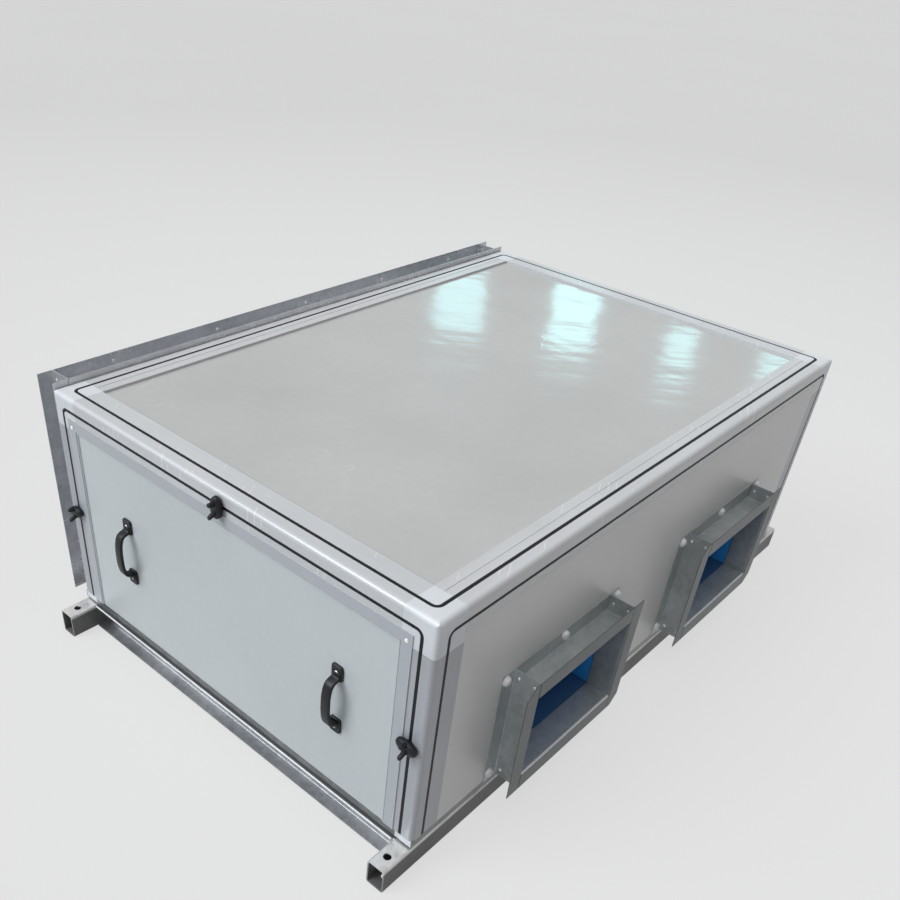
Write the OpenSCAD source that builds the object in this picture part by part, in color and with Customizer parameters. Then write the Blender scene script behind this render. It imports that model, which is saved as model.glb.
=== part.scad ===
// Air handling unit: framed and panelled casing on a tube base, two outlet
// collars on the front (-Y), one inlet collar on the back (+Y), access panel
// on the -X side. Millimetres, +Z up, floor at Z = 0.

/* [Casing] */
// Casing length along the outlet face
case_w = 1500; // [1300:10:2200]
// Casing depth along the air flow
case_d = 1015; // [850:5:1400]
// Casing height above the sills
case_h = 504; // [460:2:700]

/* [Frame] */
// Visible width of the frame outside the black line
face_w = 26; // [20:1:32]
// Full visible width of the frame on each face
frame_w = 70; // [62:1:90]
// Visible width of the top rail on the outlet face
brow_w = 50; // [44:1:60]
// Width of the frame around the open back
back_w = 36; // [34:1:38]
// Rounding of the frame's outer edges
edge_r = 9; // [4:0.5:14]
// Length of the rebate lip behind each panel
lip_l = 12; // [8:1:18]
// Width of the black gasket line
gasket_w = 7; // [4:0.5:9]
// Depth of the gasket strip
gasket_d = 8; // [5:1:14]
// How far the gasket lies below the faces
gasket_sink = 0.5; // [0.25:0.25:2]
// Corner radius of the gasket line
gasket_r = 16; // [10:1:24]

/* [Panels] */
// Panel thickness
panel_t = 25; // [18:1:30]
// Depth of the top panel below the frame
field_sink = 5; // [2:0.5:8]
// Distance of the door's edge from the casing's edges
door_in = 45; // [38:1:52]
// Width of the door's rim
rim_w = 23; // [18:1:30]
// How far the door's rim stands out from the frame
rim_out = 2; // [1:0.5:4]
// Depth of the door's field below the frame's face
door_sink = 1; // [0.5:0.5:3]
// Distance of the fine groove on the top rails from the edge
groove_in = 48; // [40:1:56]
// Width of the fine groove
groove_w = 2; // [1:0.5:3]
// Depth of the fine groove
groove_d = 0.8; // [0.5:0.1:2]

/* [Base] */
// Width of the base rails
rail_w = 40; // [30:1:60]
// Height of the base rails
rail_h = 60; // [40:1:80]
// Wall of the base rails
rail_wall = 3; // [2:0.5:5]
// Outer corner radius of the base rails
rail_r = 5; // [4:0.5:8]
// How far each rail runs past the casing
rail_over = 70; // [50:1:110]
// Radius of the hanger holes
hanger_r = 8; // [5:0.5:12]
// Hanger hole's distance from the rail end
hanger_in = 30; // [22:1:40]
// Flange depth of the cross channels
cross_d = 30; // [24:1:50]
// Sheet of the cross channels
cross_t = 3; // [2:0.5:5]
// Fold radius of the cross channels
cross_r = 6; // [4:0.5:10]
// How far the cross channels stand out past the casing
cross_out = 6; // [2:0.5:15]
// Thickness of the black seal strip
seal_t = 4; // [2:0.5:8]
// Width of the black seal strip
seal_w = 22; // [15:1:28]
// Height of the sills
sill_h = 16; // [12:1:30]
// Sheet of the sills
sill_t = 2; // [1:0.5:4]
// Width of the sills' flat leg
sill_leg = 30; // [24:1:38]
// Length of the pads under the corner posts
pad_l = 60; // [52:1:100]

/* [Outlets] */
// Clear width of each outlet
outlet_w = 316; // [240:2:340]
// Clear height of each outlet
outlet_h = 199; // [160:1:225]
// Lower edge of the outlets above the sills
outlet_z = 34; // [34:1:60]
// Distance of each outlet's centre from the casing's end
outlet_in = 427; // [415:1:440]
// Shift of both outlets along the face, towards the far side
outlet_shift = -23; // [-40:1:40]
// Length of the outlet collars
spigot_d = 58; // [30:1:100]
// Flange width of the outlet collars
spigot_f = 37; // [20:1:38]
// Cut corner of the outlet collars
spigot_cut = 22; // [8:1:30]
// Collar sheet
sheet_t = 1.5; // [1:0.25:2.5]
// Fold radius of the collars
fold_r = 3; // [2.75:0.25:5]

/* [Inlet] */
// How far the inlet walls lie inside the casing's sides
inlet_in = 39; // [34:1:60]
// Lower inlet wall above the sills
inlet_low = 11; // [6:1:20]
// Upper inlet wall below the casing top
inlet_high = 25; // [20:1:40]
// Flange width of the inlet collar
inlet_f = 36; // [26:1:50]
// Length of the inlet collar
inlet_d = 58; // [30:1:100]

/* [Handles and clamps] */
// Handle centre from the middle of the access panel
handle_off = 301; // [200:1:360]
// Shift of both handles towards the outlet face
handle_shift = 8; // [0:1:20]
// Handle centre above the sills
handle_z = 220; // [150:1:300]
// Distance between the handle's screw holes
handle_span = 125; // [100:1:160]
// Handle foot length
handle_foot = 34; // [24:1:40]
// Handle foot width
handle_fw = 26; // [20:1:40]
// Handle bow width
handle_bw = 19; // [14:1:30]
// Handle reach from the panel
handle_reach = 33; // [26:1:45]
// Rise of the handle's bow over its ends
handle_crown = 9; // [6:0.5:12]
// Handle strap thickness
handle_t = 7; // [5:0.5:9]
// Handle foot thickness
handle_ft = 5; // [4:0.5:8]
// Radius of the handle's screw holes
handle_hole = 3; // [2:0.5:4]
// Side clamps above the sills
clamp_z = 233; // [120:1:320]
// Shift of the top clamp towards the outlet face
clamp_shift = 10; // [0:1:30]
// Length of the clamp plate
clamp_l = 46; // [40:1:70]
// Width of the clamp plate
clamp_w = 26; // [20:1:36]
// Thickness of the clamp plate
clamp_t = 11; // [6:0.5:16]
// Height of the clamp boss under the plate
clamp_boss = 4; // [3:0.5:10]
// Radius of the clamp's two prongs
prong_r = 4.5; // [2:0.5:5]
// Length of the clamp's two prongs
prong_l = 12; // [6:1:20]

/* [Fans] */
// Fan centre above the throat's upper wall
cutoff_rise = 2; // [0:1:8]
// Scroll radius at the cut-off
scroll_small = 128; // [122:1:134]
// Straight throat before the scroll's centre
throat_l = 232; // [210:2:280]
// Fan sheet
fan_t = 2; // [1.5:0.5:4]
// Fan inlet radius
eye_r = 100; // [90:1:106]
// Fan wheel radius
wheel_r = 112; // [108:1:116]
// Fan wheel width
wheel_w = 230; // [180:2:234]
// Number of blades in each wheel
blades = 30; // [20:2:44]
// Width of each foot rail under the fans
foot_w = 30; // [20:1:50]

/* [Hidden] */
$fn = 48;

// half sizes and levels
hx = case_w/2;
hy = case_d/2;
y_mid = (spigot_d - inlet_d)/2;
z0 = rail_h + seal_t + sill_h;
z1 = z0 + case_h;
edge_in = face_w + gasket_w;
panel_r = gasket_r - gasket_w;
rail_len = case_w + 2*rail_over;
inner_front = y_mid - hy + panel_t;
mouth = y_mid - hy;
x_near = outlet_shift - (hx - outlet_in);
x_far = outlet_shift + (hx - outlet_in);
oz0 = z0 + outlet_z;
oz1 = oz0 + outlet_h;
scroll_big = outlet_h + cutoff_rise;
fan_y = inner_front + throat_l;
fan_z = oz0 + scroll_big;

// colours of the material classes
c_galv = [0.55, 0.56, 0.57];
c_alu = [0.74, 0.76, 0.79];
c_panel = [0.80, 0.82, 0.84];
c_white = [0.90, 0.91, 0.93];
c_black = [0.07, 0.07, 0.08];
c_blue = [0.06, 0.22, 0.45];
c_dark = [0.20, 0.21, 0.22];

// 2D: square of side a with the corner at the origin rounded
module round_corner(a, r) {
  translate([r, 0]) square([a - r, a]);
  translate([0, r]) square([a, a - r]);
  translate([r, r]) circle(r);
}

// 2D: rectangle with four rounded corners, lower left corner at the origin
module round_rect(w, h, r) {
  translate([r, 0]) square([w - 2*r, h]);
  translate([0, r]) square([w, h - 2*r]);
  for (x = [r, w - r], y = [r, h - r]) translate([x, y]) circle(r);
}

// 2D: rectangle with its two upper corners rounded, foot on the X axis
module round_top(w, h, r) {
  translate([-w/2, 0]) square([w, h - r]);
  translate([r - w/2, 0]) square([w - 2*r, h]);
  for (s = [-1, 1]) translate([s*(w/2 - r), h - r]) circle(r);
}

// extrusion of a section drawn in (Y, Z) along X, and in (X, Z) along Y
module along_x(l) { rotate([90, 0, 90]) linear_extrude(l) children(); }
module along_y(l) { translate([0, l, 0]) rotate([90, 0, 0]) linear_extrude(l) children(); }

// a copy at each end of the casing
module both_x() { children(); mirror([1, 0, 0]) children(); }
module both_y() { translate([0, y_mid, 0]) { children(); mirror([0, 1, 0]) children(); } }

// frame section: rounded bar with a leg on each of its two faces; a leg wider
// than the black line has a groove for it and a rebate lip behind the panel
module frame_leg(l) {
  translate([edge_r, 0]) square([l - edge_r, panel_t]);
  if (l > edge_in + 5) translate([l - lip_l, panel_t - 1]) square([2*lip_l, 4]);
}
module frame_section(a, b) {
  cut = gasket_d + gasket_sink;
  difference() {
    union() {
      round_corner(edge_in, edge_r);
      frame_leg(a);
      mirror([1, -1]) frame_leg(b);
    }
    if (a > edge_in + 5) translate([face_w, -1]) square([gasket_w, cut + 1]);
    if (b > edge_in + 5) translate([-1, face_w]) square([cut + 1, gasket_w]);
  }
}

// base: hollow rails with hanger holes, and open cross channels between them
module base_rail() {
  difference() {
    translate([-rail_len/2, 0, 0]) along_x(rail_len) difference() {
      round_rect(rail_w, rail_h, rail_r);
      translate([rail_wall, rail_wall])
        round_rect(rail_w - 2*rail_wall, rail_h - 2*rail_wall, rail_r - rail_wall);
    }
    for (s = [-1, 1]) translate([s*(rail_len/2 - hanger_in), rail_w/2, -1])
      cylinder(r = hanger_r, h = rail_h + 2);
  }
}
module base_rail_front() { color(c_galv) translate([0, y_mid - hy, 0]) base_rail(); }
module base_rail_back() { color(c_galv) translate([0, y_mid + hy - rail_w, 0]) base_rail(); }

module base_cross() {
  l = case_d - 2*rail_w;
  translate([-hx - cross_out, y_mid - l/2, 0]) along_y(l) difference() {
    translate([-cross_r, 0]) intersection() {
      round_rect(cross_d + cross_r, rail_h, cross_r);
      translate([cross_r, 0]) square([cross_d, rail_h]);
    }
    translate([-cross_r, cross_t])
      round_rect(cross_d + cross_r - cross_t, rail_h - 2*cross_t, cross_r - cross_t);
  }
}
module base_cross_access() { color(c_galv) base_cross(); }
module base_cross_far() { color(c_galv) mirror([1, 0, 0]) base_cross(); }

module base_seal() {
  short = case_d - 4 - 2*seal_w - 2;
  color(c_black) {
    both_y() translate([2 - hx, 2 - hy, rail_h]) cube([case_w - 4, seal_w, seal_t]);
    both_x() translate([2 - hx, y_mid - short/2, rail_h]) cube([seal_w, short, seal_t]);
  }
}

// pads on the rails under the posts, sill angles around the floor panel
module corner_pads() {
  color(c_white) both_x() both_y()
    translate([-hx, sill_t - hy, z0 - sill_h + sill_t])
      cube([pad_l, rail_w - sill_t, sill_h - sill_t]);
}
module sill_angle() {
  square([sill_t, sill_h]);
  square([sill_leg, sill_t]);
}
module sills() {
  color(c_galv) {
    both_y() translate([-hx, -hy, z0 - sill_h]) along_x(case_w) sill_angle();
    both_x() translate([-hx, y_mid - hy + rail_w, z0 - sill_h])
      along_y(case_d - 2*rail_w) sill_angle();
  }
}
module floor_panel() {
  color(c_galv) translate([0, y_mid, z0 - sill_h + sill_t])
    linear_extrude(sill_h - sill_t) difference() {
      square([case_w - 2*sill_t, case_d - 2*sill_t], center = true);
      for (sx = [-1, 1], sy = [-1, 1]) translate([sx*hx, sy*hy])
        square([2*pad_l, 2*rail_w], center = true);
    }
}

// frame: posts, top rails and three-way corner pieces
module post(w) {
  linear_extrude(case_h - frame_w) frame_section(w, frame_w);
}
module corner_posts() {
  color(c_alu) both_x() {
    translate([-hx, y_mid - hy, z0]) post(frame_w);
    translate([-hx, y_mid + hy, z0]) mirror([0, 1, 0]) post(back_w);
  }
}
// top rail section in (depth, height below the top), with its fine groove
module rail_section(w) {
  difference() {
    union() {
      frame_section(frame_w, w);
      if (w > edge_in + 5) translate([1, w - 2.5]) circle(2.5);
    }
    translate([groove_in, -1]) square([groove_w, groove_d + 1]);
  }
}
module top_rails_long() {
  l = case_w - 2*frame_w;
  color(c_alu) {
    translate([-l/2, y_mid - hy, z1]) along_x(l) mirror([0, 1]) rail_section(brow_w);
    translate([-l/2, y_mid + hy, z1]) mirror([0, 1, 0])
      along_x(l) mirror([0, 1]) rail_section(back_w);
  }
}
module top_rails_short() {
  color(c_alu) both_x() translate([-hx, y_mid - hy + frame_w, z1])
    along_y(case_d - 2*frame_w) mirror([0, 1]) frame_section(frame_w, frame_w);
}
// groove of the black line around a corner, cut into the face below
module line_cut() {
  big = 2*frame_w;
  translate([0, 0, -1]) linear_extrude(gasket_d + gasket_sink + 1) difference() {
    translate([face_w, face_w]) round_corner(big, gasket_r);
    translate([edge_in, edge_in]) round_corner(big, panel_r);
  }
}
module corner_piece(back) {
  big = 2*frame_w;
  difference() {
    intersection() {
      linear_extrude(frame_w) round_corner(frame_w, edge_r);
      along_x(frame_w) round_corner(frame_w, edge_r);
      along_y(frame_w) round_corner(frame_w, edge_r);
    }
    translate([panel_t, panel_t, panel_t]) cube(big);
    line_cut();
    rotate([90, 0, 90]) line_cut();
    if (back) translate([back_w, -1, back_w]) cube(big);
    else mirror([0, 1, -1]) line_cut();
  }
}
module top_corners() {
  color(c_white) both_x() {
    translate([-hx, y_mid - hy, z1]) mirror([0, 0, 1]) corner_piece(false);
    translate([-hx, y_mid + hy, z1]) mirror([0, 1, 0]) mirror([0, 0, 1]) corner_piece(true);
  }
}

// gasket lines: a closed ring on top, and arches open at the sill on the sides
module arch_ring(w, h) {
  difference() {
    round_top(w - 2*face_w, h - face_w, gasket_r);
    translate([0, -1]) round_top(w - 2*edge_in, h - edge_in + 1, panel_r);
  }
}
module gasket_top() {
  color(c_black) translate([0, y_mid, z1 - gasket_sink - gasket_d]) linear_extrude(gasket_d)
    translate([face_w - hx, face_w - hy]) difference() {
      round_rect(case_w - 2*face_w, case_d - 2*face_w, gasket_r);
      translate([gasket_w, gasket_w])
        round_rect(case_w - 2*edge_in, case_d - 2*edge_in, panel_r);
    }
}
module gasket_front() {
  color(c_black) translate([0, y_mid - hy + gasket_sink, z0])
    along_y(gasket_d) arch_ring(case_w, case_h);
}
module side_gasket() {
  translate([-hx + gasket_sink, y_mid, z0]) along_x(gasket_d) arch_ring(case_d, case_h);
}
module gasket_access() { color(c_black) side_gasket(); }
module gasket_far() { color(c_black) mirror([1, 0, 0]) side_gasket(); }

// panels: the top one lies below the frame, the door has a rim over the frame
module top_panel() {
  color(c_panel) translate([frame_w - hx, y_mid - hy + frame_w, z1 - panel_t])
    cube([case_w - 2*frame_w, case_d - 2*frame_w, panel_t - field_sink]);
}
module side_slab(from, to) {
  translate([from - hx, y_mid - hy + frame_w, z0])
    cube([to - from, case_d - 2*frame_w, case_h - frame_w]);
}
module access_panel() {
  w = case_d - 2*door_in;
  h = case_h - door_in;
  color(c_panel) {
    side_slab(door_sink, panel_t);
    translate([-hx - rim_out, y_mid, z0]) along_x(rim_out) difference() {
      round_top(w, h, 2);
      translate([rim_w - w/2, -1]) square([w - 2*rim_w, h - rim_w + 1]);
    }
    translate([-hx - rim_out/2, y_mid, z0]) along_x(rim_out + door_sink) difference() {
      round_top(case_d - 2*frame_w, case_h - frame_w, 1);
      translate([rim_w + 4 - w/2, -1]) square([w - 2*rim_w - 8, h - rim_w - 3]);
    }
  }
}
module far_panel() { color(c_panel) mirror([1, 0, 0]) side_slab(door_sink, panel_t); }
module front_panel() {
  w = outlet_w + 2*fan_t;
  h = outlet_h + 2*fan_t;
  color(c_panel) difference() {
    translate([frame_w - hx, y_mid - hy, z0])
      cube([case_w - 2*frame_w, panel_t, case_h - brow_w]);
    for (x = [x_near, x_far]) translate([x - w/2, y_mid - hy - 1, oz0 - fan_t])
      cube([w, panel_t + 2, h]);
  }
}

// bow handle, drawn in (reach, height) from the door's field: a shallow arched
// strap on two leaning legs, and a foot plate with a screw hole at each end
module handle_bow() {
  zb = handle_span/2 - 14.5;
  r = (zb*zb + handle_crown*handle_crown)/(2*handle_crown);
  po = handle_reach - handle_crown;
  pin = handle_reach - r + sqrt((r - handle_t)*(r - handle_t) - zb*zb);
  intersection() {
    translate([handle_reach - r, 0]) difference() {
      circle(r, $fn = 180);
      circle(r - handle_t, $fn = 180);
    }
    translate([0, -zb]) square([2*handle_reach, 2*zb]);
  }
  for (k = [0, 1]) mirror([0, k]) polygon([[0, zb + 2], [pin - 3, zb - 2], [pin + 1, zb - 3],
    [po, zb - 1], [po - 0.5, zb + 2], [po - 4, zb + 4], [handle_ft, zb + 11], [0, zb + 11]]);
}
module handle() {
  half = handle_span/2;
  difference() {
    union() {
      translate([0, handle_bw/2, 0]) rotate([90, 0, 0])
        linear_extrude(handle_bw) mirror([1, 0]) handle_bow();
      for (k = [-1, 1]) translate([-handle_ft, 0, k*half]) along_x(handle_ft)
        translate([-handle_fw/2, -handle_foot/2]) round_rect(handle_fw, handle_foot, 4);
    }
    for (k = [-1, 1]) translate([-2*handle_reach, 0, k*half]) rotate([0, 90, 0])
      cylinder(r = handle_hole, h = 3*handle_reach);
  }
}
module handle_at(s) {
  color(c_black) translate([door_sink - hx, y_mid + s*handle_off - handle_shift, z0 + handle_z]) handle();
}
module handle_front() { handle_at(-1); }
module handle_back() { handle_at(1); }

// press clamp: boss over the gasket line, oval plate and two prongs
module clamp(turn) {
  rotate([turn, 0, 0]) {
    translate([-clamp_boss, 0, 0]) rotate([0, 90, 0]) cylinder(r = clamp_w*0.4, h = clamp_boss);
    translate([-clamp_boss - clamp_t, -clamp_w/2, -clamp_l/2])
      along_x(clamp_t) round_rect(clamp_w, clamp_l, clamp_w/2 - 0.5);
    for (s = [-1, 1]) translate([-clamp_boss - clamp_t - prong_l, 0, s*clamp_w*0.36])
      rotate([0, 90, 0]) cylinder(r = prong_r, h = prong_l + 1);
  }
}
clamp_mid = face_w + gasket_w/2;
module clamp_top() {
  color(c_black) translate([-hx, y_mid - clamp_shift, z1 - clamp_mid]) clamp(0);
}
module clamp_front() {
  color(c_black) translate([-hx, y_mid - hy + clamp_mid, z0 + clamp_z]) clamp(-79);
}
module clamp_back() {
  color(c_black) translate([-hx, y_mid + hy - clamp_mid, z0 + clamp_z]) clamp(75);
}

// folded channel strip: web along the opening, a flange at each end of it
module fold() {
  translate([0, fold_r]) square([sheet_t, 1]);
  translate([fold_r, fold_r]) intersection() {
    difference() { circle(fold_r); circle(fold_r - sheet_t); }
    translate([-fold_r, -fold_r]) square(fold_r);
  }
}
module strip_half(f) {
  fold();
  translate([0, fold_r]) square([sheet_t, f - fold_r]);
}
module strip_section(d, f) {
  translate([fold_r, 0]) square([d - 2*fold_r, sheet_t]);
  strip_half(f);
  translate([d, 0]) mirror([1, 0]) strip_half(f);
}

// outlet collar: full-height side strips, top and bottom strips between them
module outlet_side(cut_z) {
  side = spigot_cut*sqrt(2);
  difference() {
    translate([outlet_w/2, spigot_d, 0]) linear_extrude(outlet_h + 2*spigot_f)
      rotate(-90) mirror([1, 0]) translate([-spigot_d, 0]) strip_section(spigot_d, spigot_f);
    translate([outlet_w/2 + spigot_f, 0, cut_z]) rotate([0, 45, 0])
      cube([side, 4*sheet_t, side], center = true);
  }
}
module outlet_sides(x) {
  color(c_galv) translate([x, y_mid - hy - spigot_d, oz0 - spigot_f]) {
    outlet_side(0);
    mirror([1, 0, 0]) outlet_side(outlet_h + 2*spigot_f);
  }
}
module outlet_top(x) {
  color(c_galv) translate([x - outlet_w/2, y_mid - hy - spigot_d, oz1])
    along_x(outlet_w) strip_section(spigot_d, spigot_f);
}
module outlet_bottom(x) {
  color(c_galv) translate([x - outlet_w/2, y_mid - hy - spigot_d, oz0])
    along_x(outlet_w) mirror([0, 1]) strip_section(spigot_d, spigot_f);
}
module near_outlet_sides() { outlet_sides(x_near); }
module near_outlet_top() { outlet_top(x_near); }
module near_outlet_bottom() { outlet_bottom(x_near); }
module far_outlet_sides() { outlet_sides(x_far); }
module far_outlet_top() { outlet_top(x_far); }
module far_outlet_bottom() { outlet_bottom(x_far); }

// inlet collar around the open back
inlet_hw = hx - inlet_in;
module inlet_top() {
  color(c_galv) translate([-inlet_hw, y_mid + hy, z1 - inlet_high])
    along_x(2*inlet_hw) strip_section(inlet_d, inlet_f);
}
module inlet_bottom() {
  color(c_galv) translate([-inlet_hw, y_mid + hy, z0 + inlet_low])
    along_x(2*inlet_hw) mirror([0, 1]) strip_section(inlet_d, inlet_f);
}
module inlet_sides() {
  zl = z0 + inlet_low - inlet_f;
  color(c_galv) both_x() translate([-inlet_hw, y_mid + hy, zl])
    linear_extrude(z1 - inlet_high + inlet_f - zl) rotate(90) strip_section(inlet_d, inlet_f);
}

// fan housing: throat through the outlet panel and spiral wrapper between two
// side plates with eyes
function spiral(a) = scroll_big - (scroll_big - scroll_small)*(a + 90)/270;
module scroll_area(grow) {
  polygon(concat(
    [[mouth - fan_y, -scroll_big - grow]],
    [for (a = [-90 : 7.5 : 180]) (spiral(a) + grow)*[cos(a), sin(a)]],
    [[-scroll_small - grow, outlet_h - scroll_big + grow],
     [mouth - fan_y, outlet_h - scroll_big + grow]]));
}
module fan_housing(x) {
  color(c_blue) translate([x - outlet_w/2 - fan_t, fan_y, fan_z]) difference() {
    along_x(outlet_w + 2*fan_t) scroll_area(fan_t);
    translate([fan_t, 0, 0]) along_x(outlet_w) scroll_area(0);
    translate([fan_t, mouth - fan_y - 1, -scroll_big]) cube([outlet_w, 2, outlet_h]);
    translate([-1, 0, 0]) rotate([0, 90, 0]) cylinder(r = eye_r, h = outlet_w + 4*fan_t);
  }
}
module near_fan_housing() { fan_housing(x_near); }
module far_fan_housing() { fan_housing(x_far); }

// fan wheel: two rims, blades, middle disc and hub; motor on arms in the eye
hub_r = 14;
rim_t = 10;
motor_r = 62;
motor_l = 92;
arm_w = 14;
arm_t = 6;
module fan_wheel(x) {
  color(c_galv) translate([x, fan_y, fan_z]) rotate([0, 90, 0]) {
    for (s = [-1, 1]) translate([0, 0, s*(wheel_w - rim_t)/2]) difference() {
      cylinder(r = wheel_r, h = rim_t, center = true);
      cylinder(r = wheel_r - 14, h = rim_t + 2, center = true);
    }
    difference() {
      cylinder(r = wheel_r, h = 4, center = true);
      cylinder(r = hub_r/2, h = 6, center = true);
    }
    difference() {
      translate([0, 0, -hub_r]) cylinder(r = hub_r, h = 2*hub_r);
      translate([0, 0, -hub_r - 1]) cylinder(r = hub_r/2, h = 2*hub_r + 2);
    }
    for (i = [0 : blades - 1]) rotate(i*360/blades) translate([wheel_r - 7, 0, 0])
      rotate(35) cube([11, 1.5, wheel_w - 4], center = true);
  }
}
module near_fan_wheel() { fan_wheel(x_near); }
module far_fan_wheel() { fan_wheel(x_far); }

module fan_motor(x) {
  plate = outlet_w/2 + fan_t;
  color(c_dark) translate([x, fan_y, fan_z]) rotate([0, 90, 0]) {
    cylinder(r = hub_r/2, h = 40, center = true);
    translate([0, 0, hub_r]) cylinder(r = motor_r, h = motor_l);
    translate([0, 0, plate]) difference() {
      cylinder(r = eye_r + 12, h = 4);
      translate([0, 0, -1]) cylinder(r = eye_r, h = 6);
    }
    for (i = [0 : 2]) rotate(60 + 120*i) {
      translate([0, -arm_w/2, plate]) cube([eye_r + 6, arm_w, arm_t]);
      translate([motor_r - 22, -arm_w/2, hub_r + motor_l - 1])
        cube([arm_t, arm_w, plate - hub_r - motor_l + 2]);
    }
  }
}
module near_fan_motor() { fan_motor(x_near); }
module far_fan_motor() { fan_motor(x_far); }

module fan_feet() {
  color(c_galv) for (x = [x_near, x_far], s = [-1, 1])
    translate([x + s*(outlet_w/2 - foot_w) - foot_w/2, inner_front + 10, z0])
      cube([foot_w, throat_l - 20, outlet_z - fan_t]);
}

base_rail_front();
base_rail_back();
base_cross_access();
base_cross_far();
base_seal();
corner_pads();
sills();
floor_panel();
corner_posts();
top_rails_long();
top_rails_short();
top_corners();
gasket_top();
gasket_front();
gasket_access();
gasket_far();
top_panel();
access_panel();
far_panel();
front_panel();
handle_front();
handle_back();
clamp_top();
clamp_front();
clamp_back();
near_outlet_sides();
near_outlet_top();
near_outlet_bottom();
far_outlet_sides();
far_outlet_top();
far_outlet_bottom();
inlet_top();
inlet_bottom();
inlet_sides();
near_fan_housing();
far_fan_housing();
near_fan_wheel();
far_fan_wheel();
near_fan_motor();
far_fan_motor();
fan_feet();
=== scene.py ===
# Air handling unit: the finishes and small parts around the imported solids,
# in the order in which the unit is put together, from its base up.
import math

import bpy
from mathutils import Matrix, Vector


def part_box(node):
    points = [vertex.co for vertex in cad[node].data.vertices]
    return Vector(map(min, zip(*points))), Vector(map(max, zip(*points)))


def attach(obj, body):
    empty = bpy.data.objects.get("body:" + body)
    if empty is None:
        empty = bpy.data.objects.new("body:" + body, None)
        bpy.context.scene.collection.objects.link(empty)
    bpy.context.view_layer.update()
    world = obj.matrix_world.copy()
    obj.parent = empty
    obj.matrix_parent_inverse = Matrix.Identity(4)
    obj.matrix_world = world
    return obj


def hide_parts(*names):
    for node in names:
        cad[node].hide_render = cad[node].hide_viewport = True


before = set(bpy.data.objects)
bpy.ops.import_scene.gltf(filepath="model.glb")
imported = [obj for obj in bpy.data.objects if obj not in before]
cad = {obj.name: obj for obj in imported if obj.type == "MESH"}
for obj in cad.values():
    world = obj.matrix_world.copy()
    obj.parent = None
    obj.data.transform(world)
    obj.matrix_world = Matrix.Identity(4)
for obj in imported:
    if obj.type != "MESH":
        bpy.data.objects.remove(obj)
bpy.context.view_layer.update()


# Base: two galvanised rectangular tubes with hanger holes at their ends, joined
# by two folded channels whose ends are welded to the tubes. Painted shade darkens the
# tubes below their tops and the channels' flange tops, the channels' upper lips carry a
# painted highlight strip, and the back tube is painted lighter than the front.
class Wire:
    """One socket of a finish; arithmetic on it adds Math nodes."""

    def __init__(self, finish, socket):
        self.finish = finish
        self.socket = socket

    def math(self, operation, first, second=0.0):
        return self.finish.node("ShaderNodeMath", {"operation": operation},
                                {0: first, 1: second})

    def __add__(self, other):
        return self.math("ADD", self, other)

    def __sub__(self, other):
        return self.math("SUBTRACT", self, other)

    def __rsub__(self, other):
        return self.math("SUBTRACT", other, self)

    def __mul__(self, other):
        return self.math("MULTIPLY", self, other)

    def __abs__(self):
        return self.math("ABSOLUTE", self)

    __radd__ = __add__
    __rmul__ = __mul__


class Finish:
    """A material, or the sky, and its nodes."""

    def __init__(self, name, kind=bpy.data.materials):
        self.block = kind.new(name)
        self.block.use_nodes = True
        self.tree = self.block.node_tree
        self.tree.nodes.clear()

    def node(self, kind, settings=None, sockets=None, out=0):
        made = self.tree.nodes.new(kind)
        for key, value in (settings or {}).items():
            if key == "stops":
                ramp = made.color_ramp
                while len(ramp.elements) < len(value):
                    ramp.elements.new(1.0)
                for stop, (place, shade) in zip(ramp.elements, value):
                    stop.position = place
                    stop.color = (*shade, 1.0)
            else:
                setattr(made, key, value)
        for key, value in (sockets or {}).items():
            if isinstance(value, Wire):
                self.tree.links.new(value.socket, made.inputs[key])
            else:
                made.inputs[key].default_value = value
        return Wire(self, made.outputs[out]) if made.outputs else None

    def place(self, stretch=(1, 1, 1), turn=0.0):
        spot = self.node("ShaderNodeTexCoord", out="Object")
        if turn:
            spot = self.node("ShaderNodeMapping", None,
                             {"Vector": spot, "Rotation": (0, 0, math.radians(turn))})
        return self.node("ShaderNodeMapping", None, {"Vector": spot, "Scale": stretch})

    def axis(self, name):
        return self.node("ShaderNodeSeparateXYZ", None, {"Vector": self.place()}, out=name)

    def noise(self, scale, detail=3.0, rough=0.5, stretch=(1, 1, 1), turn=0.0):
        return self.node("ShaderNodeTexNoise", None,
                         {"Vector": self.place(stretch, turn), "Scale": scale,
                          "Detail": detail, "Roughness": rough})

    def band(self, value, low, high):
        return self.node("ShaderNodeMapRange", {"clamp": True},
                         {"Value": value, "From Min": low, "From Max": high})

    def ramp(self, value, stops):
        return self.node("ShaderNodeValToRGB", {"stops": stops}, {"Fac": value})

    def blend(self, factor, first, second):
        return self.node("ShaderNodeMix", {"data_type": "RGBA"},
                         {0: factor, 6: first, 7: second}, out=2)

    def bump(self, height, depth, strength):
        return self.node("ShaderNodeBump", None,
                         {"Height": height, "Distance": depth, "Strength": strength})

    def surface(self, sockets):
        shader = self.node("ShaderNodeBsdfPrincipled", None, sockets)
        self.node("ShaderNodeOutputMaterial", None, {"Surface": shader})
        return self.block


def painted_shade_share(finish, cloud, amount, fades):
    """How much painted shade a spot gets: along each axis it fades from one place to the other."""
    share = amount + (cloud - 0.5) * 0.2
    for axis, shaded, unshaded in fades:
        share = share * (1 - finish.band(finish.axis(axis), shaded, unshaded))
    return share


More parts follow.
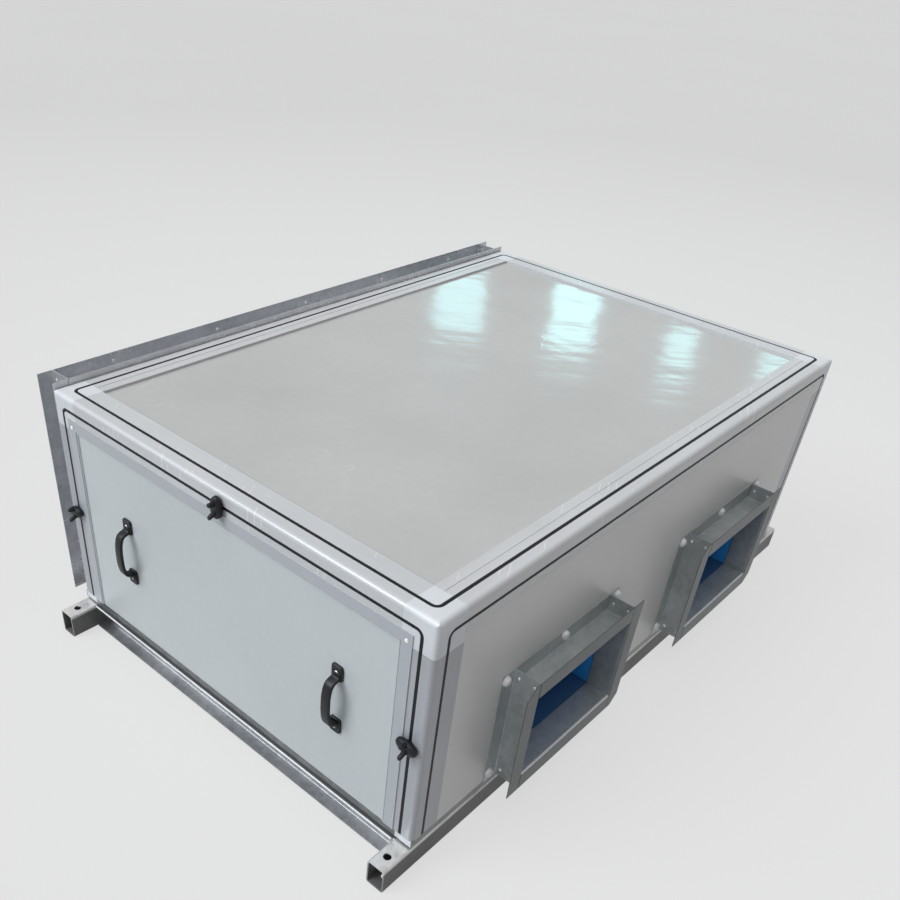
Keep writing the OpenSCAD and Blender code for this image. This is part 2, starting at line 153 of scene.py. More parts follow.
def zinc(name, dark, light, gloss=0.36, run=(1, 1, 1), metal=0.8, clouding=1.0,
         painted_shade=None, shine=0.5, patch=7.0):
    """Galvanised steel: cloudy zinc with a faint spangle and rolling streaks; the optional mask
    darkens parts toward a grey as painted shade.
    """
    finish = Finish(name)
    cloud = finish.noise(patch, 4.0, 0.6)
    streak = finish.noise(22.0, 3.0, 0.55, run)
    spangle = finish.node("ShaderNodeTexVoronoi", None,
                          {"Vector": finish.place(), "Scale": 85.0}, out="Color")
    grain = finish.node("ShaderNodeSeparateColor", None, {"Color": spangle})
    mottle = cloud * 0.6 + streak * 0.28 + grain * 0.12
    spread = 0.16 / clouding
    tone = finish.ramp(mottle, [(0.5 - spread, dark), (0.5 + spread, light)])
    # Painted shade: where the mask says, the tone turns toward a dark grey and loses its metal.
    if painted_shade:
        amount, shade, fades = painted_shade
        shaded = painted_shade_share(finish, cloud, amount, fades)
        tone = finish.blend(shaded, tone, (*shade, 1.0))
        metal = (1 - shaded) * metal
    return finish.surface({
        "Base Color": tone, "Metallic": metal, "Specular IOR Level": shine,
        "Roughness": mottle * (0.24 * clouding) + (gloss - 0.12 * clouding),
        "Normal": finish.bump(cloud * 0.6 + streak * 0.28, 0.0005, 0.3 * clouding)})


def dress(names, material):
    """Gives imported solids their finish."""
    for name in names:
        cad[name].data.materials.clear()
        cad[name].data.materials.append(material)


def open_up(piece):
    bpy.context.view_layer.objects.active = piece
    bpy.ops.object.mode_set(mode="EDIT")


def pick(piece, kind, wanted):
    """In edit mode, selects what passes a test on its place and direction."""
    bpy.ops.mesh.select_mode(type=kind)
    bpy.ops.mesh.select_all(action="DESELECT")
    bpy.ops.object.mode_set(mode="OBJECT")
    mesh = piece.data
    if kind == "FACE":
        for face in mesh.polygons:
            face.select = wanted(face.center, face.normal)
    elif kind == "EDGE":
        for edge in mesh.edges:
            a, b = (mesh.vertices[i].co for i in edge.vertices)
            edge.select = wanted((a + b) / 2, b - a)
    else:
        for vertex in mesh.vertices:
            vertex.select = wanted(vertex.co, vertex.normal)
    bpy.ops.object.mode_set(mode="EDIT")


def settle(piece, name, material, stands_for=None, smooth=35):
    """Puts a piece's place into its mesh, closes it and hangs it on the unit."""
    bpy.ops.object.select_all(action="DESELECT")
    piece.select_set(True)
    bpy.context.view_layer.objects.active = piece
    bpy.ops.object.transform_apply(location=True, rotation=True, scale=True)
    open_up(piece)
    bpy.ops.mesh.select_all(action="SELECT")
    bpy.ops.mesh.remove_doubles(threshold=0.00002)
    bpy.ops.mesh.normals_make_consistent(inside=False)
    bpy.ops.object.mode_set(mode="OBJECT")
    bpy.ops.object.shade_smooth_by_angle(angle=math.radians(smooth))
    piece.name = name
    piece.data.materials.clear()
    piece.data.materials.append(material)
    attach(piece, "root")
    if stands_for:
        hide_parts(stands_for)


def join(pieces):
    bpy.ops.object.select_all(action="DESELECT")
    for piece in pieces:
        piece.select_set(True)
    bpy.context.view_layer.objects.active = pieces[0]
    bpy.ops.object.join()
    return bpy.context.object


def copies(pattern, places):
    """Sets a copy of the pattern at each place, facing outward, and joins them."""
    made = []
    for point, outward in places:
        twin = pattern.copy()
        twin.data = pattern.data.copy()
        bpy.context.scene.collection.objects.link(twin)
        turn = Vector(outward).to_track_quat("Z", "Y").to_matrix().to_4x4()
        twin.matrix_world = Matrix.Translation(point) @ turn
        made.append(twin)
    return join(made)


def painted_highlight_strip(name, centre, size, rounding):
    """A painted highlight along an edge: a near-white bar with its two long upper edges rounded."""
    bpy.ops.object.select_all(action="DESELECT")
    bpy.ops.mesh.primitive_cube_add(size=1.0, location=centre)
    bar = bpy.context.object
    bar.scale = size
    bpy.ops.object.transform_apply(location=False, rotation=False, scale=True)
    open_up(bar)
    pick(bar, "EDGE", lambda spot, way: way.length > 0.1 and spot.z > 0)
    bpy.ops.mesh.bevel(offset=rounding, segments=3)
    bpy.ops.object.mode_set(mode="OBJECT")
    settle(bar, name, painted_highlight_zinc, smooth=60)


painted_shade_grey = (0.05, 0.051, 0.053)
# Painted shade: each tube's sides below its top turn toward a dark grey, kept off the open ends;
# the back tube gets a lighter tone than the front as painted light.
for node, dark, light in (("base_rail_front", (0.52, 0.52, 0.51), (0.78, 0.775, 0.765)),
                          ("base_rail_back", (0.70, 0.695, 0.68), (0.93, 0.92, 0.90))):
    low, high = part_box(node)
    fades = (("Z", high.z - 0.010, high.z - 0.003),
             ("X", low.x + 0.0005, low.x - 0.0015), ("X", high.x - 0.0005, high.x + 0.0015))
    dress([node], zinc(node + "_zinc", dark, light, gloss=0.32, run=(0.15, 1, 1), metal=0.65,
                       painted_shade=(0.86, painted_shade_grey, fades), shine=0.08))

# Near-white zinc that stands in for highlights on edges.
painted_highlight_zinc = zinc("painted_highlight_zinc", (0.88, 0.89, 0.90), (0.95, 0.95, 0.95), gloss=0.40, metal=0.1)
seams = []
for node in ("base_cross_access", "base_cross_far"):
    low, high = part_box(node)
    lip, web, inward = (low.x, high.x, 1) if low.x < 0 else (high.x, low.x, -1)
    # Painted shade: the flange top under the casing turns dark grey, all but the outer lip.
    fades = (("Z", high.z - 0.0005, high.z - 0.0015),
             ("X", lip + inward * 0.0016, lip + inward * 0.0008))
    dress([node], zinc(node + "_zinc", (0.27, 0.275, 0.29), (0.50, 0.505, 0.52), gloss=0.46,
                       run=(1, 0.15, 1), painted_shade=(0.86, painted_shade_grey, fades)))
    # Painted highlight: a near-white strip along each channel's upper lip.
    painted_highlight_strip(node + "_lip", (lip + inward * 0.0010, (low.y + high.y) / 2, high.z - 0.00135),
            (0.0024, high.y - low.y - 0.004, 0.0031), 0.0008)
    for y, side in ((low.y, -1), (high.y, 1)):
        seams.append(((low.x + 0.0150, y + side * 0.0012, high.z - 0.0030), (1, 0, 0)))
        seams.append(((web - inward * 0.0045, y - side * 0.0012, 0.030), (0, 0, 1)))

bead_radius, bead_length, bead_step = 0.0036, 0.027, 0.0024
bead_rings = range(-5, 6)
bpy.ops.object.select_all(action="DESELECT")
bpy.ops.mesh.primitive_cylinder_add(vertices=10, radius=bead_radius, depth=bead_length)
bead = bpy.context.object
open_up(bead)
for ring in bead_rings:
    bpy.ops.mesh.select_all(action="SELECT")
    bpy.ops.mesh.bisect(plane_co=(0, 0, ring * bead_step), plane_no=(0, 0, 1))
for ring in bead_rings:
    pick(bead, "VERT", lambda spot, way: abs(spot.z - ring * bead_step) < 0.0004)
    swell = 1.12 if ring % 2 else 0.94
    bpy.ops.transform.resize(value=(swell, swell, 1.0), center_override=(0, 0, 0))
pick(bead, "FACE", lambda spot, way: abs(way.z) > 0.9)
bpy.ops.transform.resize(value=(0.5, 0.5, 1.06), center_override=(0, 0, 0))
bpy.ops.object.mode_set(mode="OBJECT")
welds = copies(bead, seams)
bpy.data.objects.remove(bead)
weld_zinc = zinc("weld_zinc", (0.28, 0.285, 0.30), (0.52, 0.525, 0.54), gloss=0.34)
settle(welds, "base_welds", weld_zinc, smooth=60)


# Seal strip, pads and sills: a black foam strip on the base, white moulded pads
# under the posts, and folded galvanised sill angles around the floor panel.
def black_rubber():
    """Foam rubber: near black, with a fine matt grain."""
    finish = Finish("black_rubber")
    grain = finish.noise(220.0, 4.0)
    tone = finish.ramp(grain, [(0.3, (0.0035, 0.004, 0.006)), (0.7, (0.008, 0.009, 0.012))])
    return finish.surface({
        "Base Color": tone, "Roughness": grain * 0.2 + 0.42, "Specular IOR Level": 0.25,
        "Normal": finish.bump(grain, 0.0002, 0.3)})


def white_plastic(name, dark, light):
    """Moulded plastic: a soft cloud in its white and a fine moulded grain."""
    finish = Finish(name)
    cloud = finish.noise(14.0, 3.0)
    grain = finish.noise(380.0, 2.0)
    return finish.surface({
        "Base Color": finish.ramp(cloud, [(0.3, dark), (0.7, light)]),
        "Roughness": cloud * 0.12 + 0.28, "Normal": finish.bump(grain, 0.0002, 0.15)})


rubber = black_rubber()
moulded = white_plastic("white_plastic", (0.645, 0.665, 0.70), (0.705, 0.725, 0.76))
# Painted shade: the sill zinc is far darker than the other galvanised parts, standing in for the
# shade along the base; the floor panel shares it.
shaded_sill_zinc = zinc("shaded_sill_zinc", (0.12, 0.125, 0.13), (0.25, 0.255, 0.265))
dress(["base_seal"], rubber)
dress(["corner_pads"], moulded)
dress(["sills", "floor_panel"], shaded_sill_zinc)


# Frame: satin anodised aluminium extrusions with rounded outer edges, drawn
# along their length, and white three-way corner mouldings pushed into them.
# Handling has left short bright nicks on the top rails.
def drawn_alloy(name, dark, light, run, chipped=0.0):
    """Anodised extrusion: fine lines along its run, dull scuffs and, if chipped, nicks."""
    finish = Finish(name)
    cloud = finish.noise(5.0, 3.0)
    line = finish.noise(120.0, 3.0, 0.6, run)
    scuff = finish.band(finish.noise(38.0, 5.0, 0.7, run), 0.66, 0.72)
    drawn = finish.ramp(cloud * 0.55 + line * 0.45, [(0.3, dark), (0.7, light)])
    worn = finish.blend(scuff * 0.6, drawn, (0.72, 0.73, 0.74, 1.0))
    if chipped:
        hatch = finish.node("ShaderNodeTexWave", None,
                            {"Vector": finish.place(turn=62), "Scale": 21.0, "Distortion": 2.0,
                             "Detail": 1.0, "Detail Scale": 0.4}, out="Fac")
        knocked = finish.band(finish.noise(17.0, 2.0), 0.60, 0.64)
        nick = finish.band(hatch, 0.955, 0.985) * knocked * chipped
        worn = finish.blend(nick, worn, (0.90, 0.90, 0.90, 1.0))
    return finish.surface({
        "Base Color": worn, "Metallic": 0.12, "Specular IOR Level": 0.35,
        "Roughness": line * 0.10 + scuff * 0.15 + 0.25,
        "Normal": finish.bump(line, 0.0002, 0.2)})


# One extrusion in two tones: the upright posts are darker as painted shade and the top rails
# lighter as painted light.
dress(["corner_posts"], drawn_alloy("post_alloy_shaded_tone", (0.375, 0.385, 0.42), (0.445, 0.455, 0.49),
                                    (1, 1, 0.02)))
dress(["top_rails_long"], drawn_alloy("long_rail_alloy_lit_tone", (0.55, 0.555, 0.57), (0.63, 0.635, 0.65),
                                      (0.02, 1, 1), chipped=0.5))
dress(["top_rails_short"], drawn_alloy("short_rail_alloy_lit_tone", (0.55, 0.56, 0.58), (0.63, 0.64, 0.66),
                                       (1, 0.02, 1), chipped=0.5))
dress(["top_corners"], moulded)


# Panels: insulated panels of coated steel sheet, still under their clear film.
# The film puckers, so reflections in the top panel run in soft waves. The door
# has a rim of plain sheet along its two upright edges and its top.
def coated_sheet(name, dark, light, film, pucker, rim=None):
    """Coated sheet: faint clouds, and waves, ripples and creases as strong as its film."""
    finish = Finish(name)
    cloud = finish.noise(1.8, 4.0, 0.55)
    fine = finish.noise(70.0, 3.0)
    wave = finish.noise(4.5, 3.0, 0.45, (1.0, 0.55, 1.0))
    ripple = finish.noise(15.0, 2.0, 0.5, (0.16, 1.0, 1.0), 50.6)
    ridge = finish.noise(3.2, 4.0, 0.5, (0.6, 1.5, 1.0))
    creased = finish.band(finish.noise(2.3, 2.0), 0.5, 0.62)
    crease = (1 - finish.band(abs(ridge - 0.5), 0.0, 0.006)) * creased
    tone = cloud * 0.8 + fine * 0.2
    plain = finish.ramp(tone, [(0.32, dark), (0.68, light)])
    if rim:
        edge, top, shade = rim
        upright = finish.band(abs(finish.axis("Y")), edge, edge + 0.0004)
        level = finish.band(finish.axis("Z"), top, top + 0.0004)
        plain = finish.blend(upright.math("MAXIMUM", upright, level), plain, (*shade, 1.0))
    return finish.surface({
        "Base Color": finish.blend(crease * (0.35 * film), plain, (0.78, 0.78, 0.77, 1.0)),
        "Roughness": tone * 0.06 + (0.38 - 0.38 * film),
        "Specular IOR Level": 0.5 + 0.4 * film,
        "Normal": finish.bump(wave + ripple * (0.4 * film) + crease * (0.05 * film), pucker, 0.5)})


door_low, door_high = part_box("access_panel")
rim_width = 0.023
door_rim = (door_high.y - rim_width, door_high.z - rim_width, (0.435, 0.455, 0.49))
side_dark, side_light = (0.52, 0.56, 0.58), (0.59, 0.625, 0.64)
dress(["top_panel"], coated_sheet("top_sheet", (0.455, 0.457, 0.452), (0.525, 0.53, 0.525),
                                  film=0.75, pucker=0.0075))
dress(["access_panel"], coated_sheet("door_sheet", side_dark, side_light,
                                     film=0.2, pucker=0.0015, rim=door_rim))
dress(["far_panel"], coated_sheet("side_sheet", side_dark, side_light, film=0.2, pucker=0.0015))
# Painted light: the outlet face's sheet has a lighter tone than the same sheet on the other sides,
# offsetting its shade.
dress(["front_panel"], coated_sheet("front_sheet_painted_light", (0.62, 0.62, 0.615), (0.68, 0.68, 0.675),
                                    film=0.2, pucker=0.0015))
dress(["gasket_top", "gasket_front", "gasket_access", "gasket_far"], rubber)


# Bow handles: black nylon straps bent up from rounded foot plates, each plate
# held on the door by a bright screw.
def black_nylon():
    """Moulded nylon: near black, with a fine grain and an uneven sheen."""
    finish = Finish("black_nylon")
    grain = finish.noise(420.0, 3.0)
    cloud = finish.noise(30.0, 2.0)
    tone = finish.ramp(grain, [(0.3, (0.0035, 0.0045, 0.006)), (0.7, (0.008, 0.009, 0.012))])
    return finish.surface({
        "Base Color": tone, "Roughness": cloud * 0.14 + 0.36, "Specular IOR Level": 0.35,
        "Normal": finish.bump(grain, 0.0002, 0.25)})


def rise(up, ratio):
    """Draws the selected faces up along Z and narrows them."""
    bpy.ops.mesh.extrude_region_move(TRANSFORM_OT_translate={"value": (0, 0, up)})
    bpy.ops.transform.resize(value=(ratio, ratio, 1.0), center_override=(0, 0, 0))


def stand(piece, point, turn=0.0):
    """Turns a piece made lying on the floor to stand out from the door, its X axis upward."""
    piece.matrix_world = (Matrix.Translation(point) @ Matrix.Rotation(math.radians(turn), 4, "X")
                          @ Matrix.Rotation(-math.pi / 2, 4, "Y"))


nylon = black_nylon()
bright_zinc = zinc("bright_zinc", (0.84, 0.85, 0.86), (0.93, 0.94, 0.95), gloss=0.30, metal=0.85)

bpy.ops.object.select_all(action="DESELECT")
bpy.ops.mesh.primitive_cylinder_add(vertices=20, radius=0.0040, depth=0.0010)
screw = bpy.context.object
open_up(screw)
pick(screw, "FACE", lambda spot, way: way.z > 0.9)
rise(0.0006, 0.82)
bpy.ops.mesh.inset(thickness=0.0014)
rise(-0.0008, 0.85)
bpy.ops.object.mode_set(mode="OBJECT")

strap_width, strap_thick, strap_round = 0.0190, 0.0068, 0.0016
foot_size, foot_round, foot_reach = (0.0340, 0.0260, 1.0), 0.0055, 0.0625
screw_reach, screw_seat = 0.0645, 0.0052
half_mm = [(66.0, 3.6), (60.0, 3.6), (56.4, 3.8), (53.8, 5.2), (52.0, 8.2), (50.8, 12.2),
           (49.4, 16.4), (47.4, 19.9), (44.4, 22.6), (40.0, 24.6), (33.0, 26.6), (24.0, 28.2),
           (12.0, 29.1)]
bow = [(x / 1000, z / 1000) for x, z in half_mm]
bow += [(-x / 1000, z / 1000) for x, z in reversed(half_mm)]
for node in ("handle_front", "handle_back"):
    low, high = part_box(node)
    root = Vector((high.x, (low.y + high.y) / 2, (low.z + high.z) / 2))
    bpy.ops.object.select_all(action="DESELECT")
    bpy.ops.mesh.primitive_plane_add(size=1.0)
    strap = bpy.context.object
    strap.scale = (bow[0][0] - bow[1][0], strap_width, 1.0)
    strap.location = ((bow[0][0] + bow[1][0]) / 2, 0, bow[0][1])
    bpy.ops.object.transform_apply(location=True, rotation=True, scale=True)
    open_up(strap)
    pick(strap, "EDGE", lambda spot, way: spot.x < bow[1][0] + 0.0005)
    for before, after in zip(bow[1:], bow[2:]):
        bpy.ops.mesh.extrude_region_move(TRANSFORM_OT_translate={
            "value": (after[0] - before[0], 0, after[1] - before[1])})
    bpy.ops.object.mode_set(mode="OBJECT")
    bpy.ops.object.modifier_add(type="SOLIDIFY")
    wall = strap.modifiers[-1]
    wall.thickness = strap_thick
    wall.offset = 0.0
    wall.use_even_offset = True
    bpy.ops.object.modifier_apply(modifier=wall.name)
    bpy.ops.object.modifier_add(type="BEVEL")
    edges = strap.modifiers[-1]
    edges.width = strap_round
    edges.segments = 3
    edges.angle_limit = math.radians(50)
    bpy.ops.object.modifier_apply(modifier=edges.name)
    plates = []
    for side in (1, -1):
        bpy.ops.object.select_all(action="DESELECT")
        bpy.ops.mesh.primitive_plane_add(size=1.0)
        foot = bpy.context.object
        foot.scale = foot_size
        foot.location = (side * foot_reach, 0, 0)
        bpy.ops.object.transform_apply(location=True, rotation=True, scale=True)
        open_up(foot)
        bpy.ops.mesh.select_all(action="SELECT")
        bpy.ops.mesh.bevel(offset=foot_round, segments=5, affect="VERTICES")
        rise(0.0038, 1.0)
        bpy.ops.mesh.inset(thickness=0.0012)
        bpy.ops.transform.translate(value=(0, 0, 0.0012))
        bpy.ops.object.mode_set(mode="OBJECT")
        plates.append(foot)
    handle = join([strap] + plates)
    stand(handle, root)
    settle(handle, node + "_strap", nylon, node)
    feet = [((root.x - screw_seat, root.y, root.z + side * screw_reach), (-1, 0, 0))
            for side in (1, -1)]
    settle(copies(screw, feet), node + "_screws", bright_zinc)


# Clamps: black nylon oval caps on a boss over the black line, each with two
# splayed upright prongs. The caps turn to press the door onto its seal.
boss_radius, prong_radius, prong_reach, prong_seat = 0.0104, 0.0052, 0.0092, 0.0120
cap_steps = ((0.0010, 1.03), (0.0050, 0.985), (0.0024, 0.94), (0.0016, 0.88), (0.0009, 0.74))
prong_steps = ((0.0030, 0.94, 0.0018), (0.0050, 0.95, 0.0031), (0.0044, 0.95, 0.0027),
               (0.0016, 0.80, 0.0008), (0.0006, 0.55, 0.0))
for node, turn in (("clamp_top", 0), ("clamp_front", -79), ("clamp_back", 75)):
    low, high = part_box(node)
    pivot = Vector((high.x, (low.y + high.y) / 2, (low.z + high.z) / 2))
    bpy.ops.object.select_all(action="DESELECT")
    bpy.ops.mesh.primitive_circle_add(vertices=32, radius=boss_radius, fill_type="NGON")
    cap = bpy.context.object
    open_up(cap)
    bpy.ops.mesh.extrude_region_move(TRANSFORM_OT_translate={"value": (0, 0, 0.0036)})
    bpy.ops.mesh.extrude_region_move(TRANSFORM_OT_translate={"value": (0, 0, 0.0004)})
    bpy.ops.transform.resize(value=(2.15, 1.20, 1.0), center_override=(0, 0, 0))
    for up, ratio in cap_steps:
        rise(up, ratio)
    bpy.ops.object.mode_set(mode="OBJECT")
    parts = [cap]
    for side, splay in ((-1, -0.7), (1, 0.1)):
        bpy.ops.object.select_all(action="DESELECT")
        bpy.ops.mesh.primitive_circle_add(vertices=20, radius=prong_radius, fill_type="NGON")
        prong = bpy.context.object
        open_up(prong)
        lean = 0.0
        for up, ratio, out in prong_steps:
            bpy.ops.mesh.extrude_region_move(TRANSFORM_OT_translate={"value": (splay * out, 0, up)})
            lean += splay * out
            bpy.ops.transform.resize(value=(ratio, ratio, 1.0), center_override=(lean, 0, 0))
        bpy.ops.object.mode_set(mode="OBJECT")
        prong.matrix_world = (Matrix.Rotation(math.radians(turn), 4, "Z")
                              @ Matrix.Translation((side * prong_reach, 0, prong_seat)))
        parts.append(prong)
    clamp = join(parts)
    stand(clamp, pivot, turn)
    settle(clamp, node + "_cap", nylon, node, smooth=50)


# Door trim: the rim's two upright strips of folded sheet are fixed near the top
# by a bright screw of the same kind as the handles'.
screw_in, screw_down = 0.012, 0.017
trim = [((door_low.x, y, door_high.z - screw_down), (-1, 0, 0))
        for y in (door_low.y + screw_in, door_high.y - screw_in)]
settle(copies(screw, trim), "door_screws", bright_zinc)
bpy.data.objects.remove(screw)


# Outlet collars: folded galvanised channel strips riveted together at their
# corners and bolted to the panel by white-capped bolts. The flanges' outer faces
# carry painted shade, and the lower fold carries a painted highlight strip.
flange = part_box("near_outlet_top")[0].y
# Painted shade: the outward faces of the flanges turn toward a dark grey.
collar_zinc = zinc("collar_zinc", (0.34, 0.37, 0.38), (0.56, 0.595, 0.61), run=(1, 1, 0.4),
                   metal=0.5, clouding=0.8, shine=0.25,
                   painted_shade=(0.82, (0.055, 0.06, 0.063), (("Y", flange + 0.0016, flange + 0.0022),)))
cap_white = white_plastic("cap_white", (0.82, 0.82, 0.84), (0.90, 0.90, 0.91))

bpy.ops.object.select_all(action="DESELECT")
bpy.ops.mesh.primitive_circle_add(vertices=24, radius=0.0106, fill_type="NGON")
bolt_cap = bpy.context.object
open_up(bolt_cap)
for up, ratio in ((0.0012, 1.0), (0.0002, 0.90), (0.0030, 0.97), (0.0022, 0.86), (0.0014, 0.70),
                  (0.0006, 0.45)):
    rise(up, ratio)
bpy.ops.object.mode_set(mode="OBJECT")

bpy.ops.object.select_all(action="DESELECT")
bpy.ops.mesh.primitive_circle_add(vertices=14, radius=0.0036, fill_type="NGON")
rivet = bpy.context.object
open_up(rivet)
for up, ratio in ((0.0005, 1.0), (0.0006, 0.84), (0.0004, 0.60), (0.0002, 0.40)):
    rise(up, ratio)
bpy.ops.object.mode_set(mode="OBJECT")

sheet = 0.0015
bolt_reach, bolt_down, bolt_up = 0.185, 0.013, 0.022
rivet_rows, rivet_in = (0.012, 0.046), 0.020
for side in ("near", "far"):
    dress([side + "_outlet_sides", side + "_outlet_top", side + "_outlet_bottom"], collar_zinc)
    low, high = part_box(side + "_outlet_sides")
    left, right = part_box(side + "_outlet_top")
    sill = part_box(side + "_outlet_bottom")[1].z
    middle = (low.x + high.x) / 2
    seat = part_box("front_panel")[0].y - sheet
    bolts = [((middle + reach, seat, z), (0, -1, 0)) for reach in (-bolt_reach, bolt_reach)
             for z in (high.z - bolt_down, low.z + bolt_up)]
    bolts.append(((middle, seat, high.z - bolt_down), (0, -1, 0)))
    settle(copies(bolt_cap, bolts), side + "_outlet_bolts", cap_white, smooth=45)
    webs = []
    for z in (left.z + rivet_in, sill - rivet_in):
        for row in rivet_rows:
            for web, out in ((left.x, -1), (right.x, 1)):
                webs.append(((web + out * sheet, low.y + row, z), (out, 0, 0)))
                webs.append(((web, low.y + row, z), (-out, 0, 0)))
    settle(copies(rivet, webs), side + "_outlet_rivets", bright_zinc, smooth=45)
    # Painted highlight: a near-white strip along the lower fold of each outlet.
    painted_highlight_strip(side + "_outlet_fold", (middle, low.y + 0.0026, sill + 0.0001),
            (right.x - left.x - 0.004, 0.0046, 0.0014), 0.0006)


# Inlet collar: the same folded strips around the open back, riveted at the
# corners and along the upper flange.
inlet_zinc = zinc("inlet_zinc", (0.46, 0.47, 0.495), (0.72, 0.73, 0.755), gloss=0.26,
                  run=(0.06, 1, 1), metal=0.7, clouding=0.8, patch=3.0)
dress(["inlet_top", "inlet_bottom", "inlet_sides", "fan_feet"], inlet_zinc)
low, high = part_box("inlet_sides")
left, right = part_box("inlet_top")
corner_in, flange_down, flange_rivets = 0.018, 0.019, 5
pins = []
for z in (high.z - corner_in, low.z + corner_in):
    for row in rivet_rows:
        pins.append(((left.x - sheet, low.y + row, z), (-1, 0, 0)))
        pins.append(((right.x + sheet, low.y + row, z), (1, 0, 0)))
for step in range(flange_rivets):
    x = left.x + (right.x - left.x) * (step + 0.5) / flange_rivets
    pins.append(((x, high.y - sheet, high.z - flange_down), (0, -1, 0)))
settle(copies(rivet, pins), "inlet_rivets", bright_zinc, smooth=45)
bpy.data.objects.remove(rivet)
bpy.data.objects.remove(bolt_cap)


# Fans: blue painted scroll housings, each with a zinc wheel turned by a dark
# motor held on arms in the far eye. The floor of each throat is painted darker as shade.
def fan_blue():
    """Blue paint: a soft cloud, a fine grain and painted shade on the throat floor."""
    finish = Finish("fan_blue")
    cloud = finish.noise(14.0, 3.0)
    grain = finish.noise(260.0, 2.0)
    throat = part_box("near_outlet_bottom")[1].z
    paint = finish.ramp(cloud, [(0.3, (0.035, 0.30, 0.78)), (0.7, (0.045, 0.36, 0.88))])
    # Painted shade: below the throat's floor level the blue turns dark grey.
    shaded = painted_shade_share(finish, cloud, 0.72, (("Z", throat + 0.001, throat + 0.003),))
    return finish.surface({
        "Base Color": finish.blend(shaded, paint, (0.05, 0.06, 0.07, 1.0)),
        "Roughness": cloud * 0.15 + 0.26, "Normal": finish.bump(grain, 0.0002, 0.2)})


def motor_grey():
    """Dark grey paint with a soft cloud."""
    finish = Finish("motor_grey")
    cloud = finish.noise(40.0, 3.0)
    tone = finish.ramp(cloud, [(0.3, (0.02, 0.021, 0.023)), (0.7, (0.045, 0.047, 0.05))])
    return finish.surface({"Base Color": tone, "Roughness": cloud * 0.2 + 0.4})


dress(["near_fan_housing", "far_fan_housing"], fan_blue())
dress(["near_fan_motor", "far_fan_motor"], motor_grey())
dress(["near_fan_wheel", "far_fan_wheel"], collar_zinc)


# Studio: a pale floor, an even sky, two soft suns and a row of windows behind
# the unit that show in its top panel.
def watched(finish):
    """1 on rays from the camera, from gloss and through glass, and 0 on all others."""
    camera, gloss, glass = (finish.node("ShaderNodeLightPath", out="Is " + kind + " Ray")
                            for kind in ("Camera", "Glossy", "Transmission"))
    return camera.math("MAXIMUM", camera, camera.math("MAXIMUM", gloss, glass))


bpy.ops.object.select_all(action="DESELECT")
bpy.ops.mesh.primitive_plane_add(size=60.0, location=(0, 0, -0.0005))
floor = bpy.context.object
floor.name = "studio_floor"
ground = Finish("studio_floor")
matt = ground.node("ShaderNodeBsdfPrincipled", None, {
    "Base Color": ground.ramp(ground.noise(0.4, 2.0),
                              [(0.3, (0.37, 0.37, 0.37)), (0.7, (0.39, 0.39, 0.39))]),
    "Roughness": 0.9, "Specular IOR Level": 0.1})
distance = ground.node("ShaderNodeVectorMath", {"operation": "LENGTH"}, {0: ground.place()},
                       out="Value")
glow = ground.node("ShaderNodeBsdfPrincipled", None, {
    "Base Color": (0.0, 0.0, 0.0, 1.0), "Specular IOR Level": 0.0, "Emission Strength": 1.0,
    "Emission Color": ground.ramp(ground.band(distance, 1.2, 6.0),
                                  [(0.0, (0.97, 0.97, 0.97)), (1.0, (0.80, 0.80, 0.80))])})
pale = ground.node("ShaderNodeMixShader", None, {0: watched(ground) * 0.66, 1: matt, 2: glow})
ground.node("ShaderNodeOutputMaterial", None, {"Surface": pale})
floor.data.materials.append(ground.block)

sky = Finish("studio_sky", bpy.data.worlds)
bpy.context.scene.world = sky.block
dim, bright = (sky.node("ShaderNodeBackground", None,
                        {"Color": (1.0, 1.0, 1.0, 1.0), "Strength": strength})
               for strength in (0.30, 0.64))
air = sky.node("ShaderNodeMixShader", None, {0: watched(sky), 1: dim, 2: bright})
sky.node("ShaderNodeOutputWorld", None, {"Surface": air})

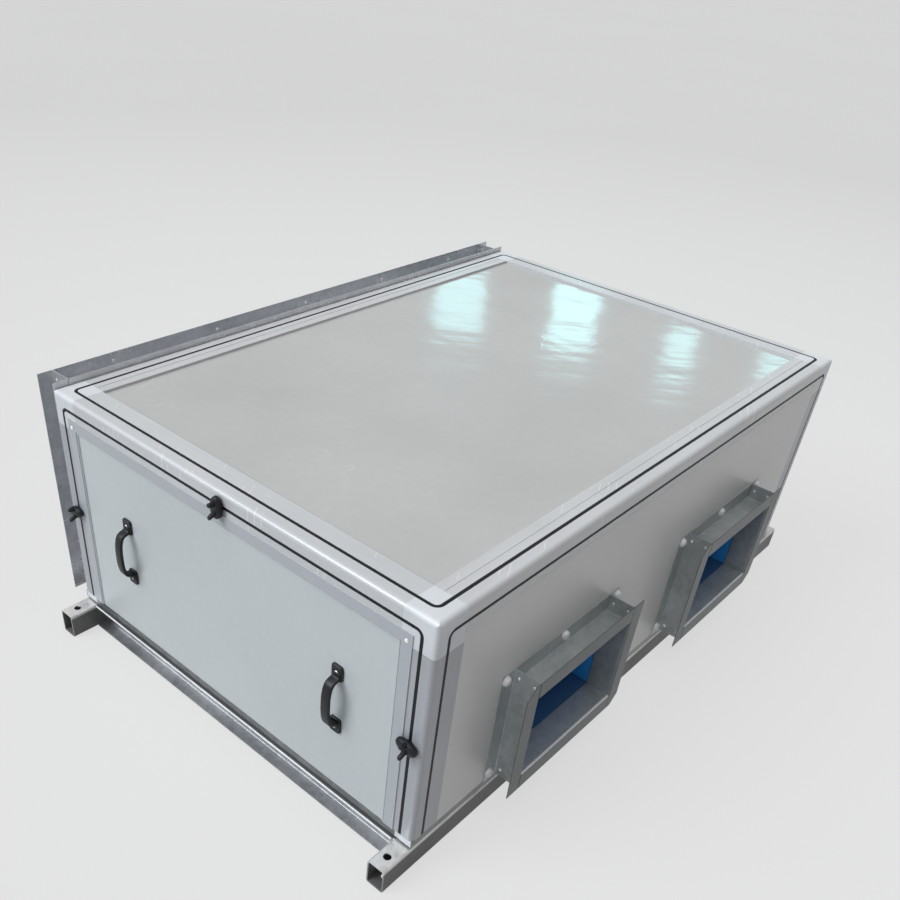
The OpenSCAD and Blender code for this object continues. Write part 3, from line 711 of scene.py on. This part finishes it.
for name, way, power, spread, tint in (
        ("side_daylight", (-0.66, 0.42, 0.62), 2.0, 34, (0.88, 0.95, 1.0)),
        ("roof_daylight", (-0.25, 0.0, 0.97), 1.08, 50, (1.0, 0.98, 0.95))):
    day = bpy.data.lights.new(name, "SUN")
    day.energy = power
    day.angle = math.radians(spread)
    day.color = tint
    lamp = bpy.data.objects.new(name, day)
    bpy.context.scene.collection.objects.link(lamp)
    lamp.rotation_euler = Vector(way).to_track_quat("Z", "Y").to_euler()

top_middle = Vector((0.2, 0.0, 0.5))
for name, spot, size, power in (
        ("window_1", (2.765, 2.143, 1.66), (0.30, 0.36), 0.80),
        ("window_2", (3.176, 1.595, 1.665), (0.27, 0.36), 0.98),
        ("window_3", (3.579, 1.062, 1.813), (0.17, 0.23), 0.38),
        ("window_4", (3.91, 0.61, 1.83), (0.16, 0.18), 0.28)):
    pane = bpy.data.lights.new(name, "AREA")
    pane.shape = "RECTANGLE"
    pane.size, pane.size_y = size
    pane.energy = power
    pane.color = (0.45, 0.97, 1.0)
    lamp = bpy.data.objects.new(name, pane)
    bpy.context.scene.collection.objects.link(lamp)
    lamp.location = spot
    lamp.rotation_euler = (Vector(spot) - top_middle).to_track_quat("Z", "Y").to_euler()
    lamp.visible_camera = False


# Camera at the photograph's viewpoint: above the corner between the access
# side and the outlet side, a little rolled, the frame shifted off its axis.
azimuth, height, roll = (math.radians(a) for a in (-50.571, 38.425, 4.892))
aim = Vector((-0.26946, -0.01278, 0.05763))
stand_off = 2.19761
picture, focal, axis_x, axis_y = 900.0, 919.7, 388.016, 612.447
back = Vector((math.sin(azimuth) * math.cos(height), -math.cos(azimuth) * math.cos(height),
               math.sin(height)))
level = Vector((math.cos(azimuth), math.sin(azimuth), 0.0))
upward = back.cross(level)
right = math.cos(roll) * level + math.sin(roll) * upward
over = -math.sin(roll) * level + math.cos(roll) * upward
lens = bpy.data.cameras.new("viewpoint")
lens.sensor_width = 36.0
lens.lens = lens.sensor_width * focal / picture
lens.shift_x = (picture / 2 - axis_x) / picture
lens.shift_y = (axis_y - picture / 2) / picture
lens.clip_end = 200.0
eye = bpy.data.objects.new("viewpoint", lens)
bpy.context.scene.collection.objects.link(eye)
facing = Matrix((right, over, back)).transposed().to_4x4()
eye.matrix_world = Matrix.Translation(aim + back * stand_off) @ facing
bpy.context.scene.camera = eye
bpy.context.scene.view_settings.view_transform = "Standard"
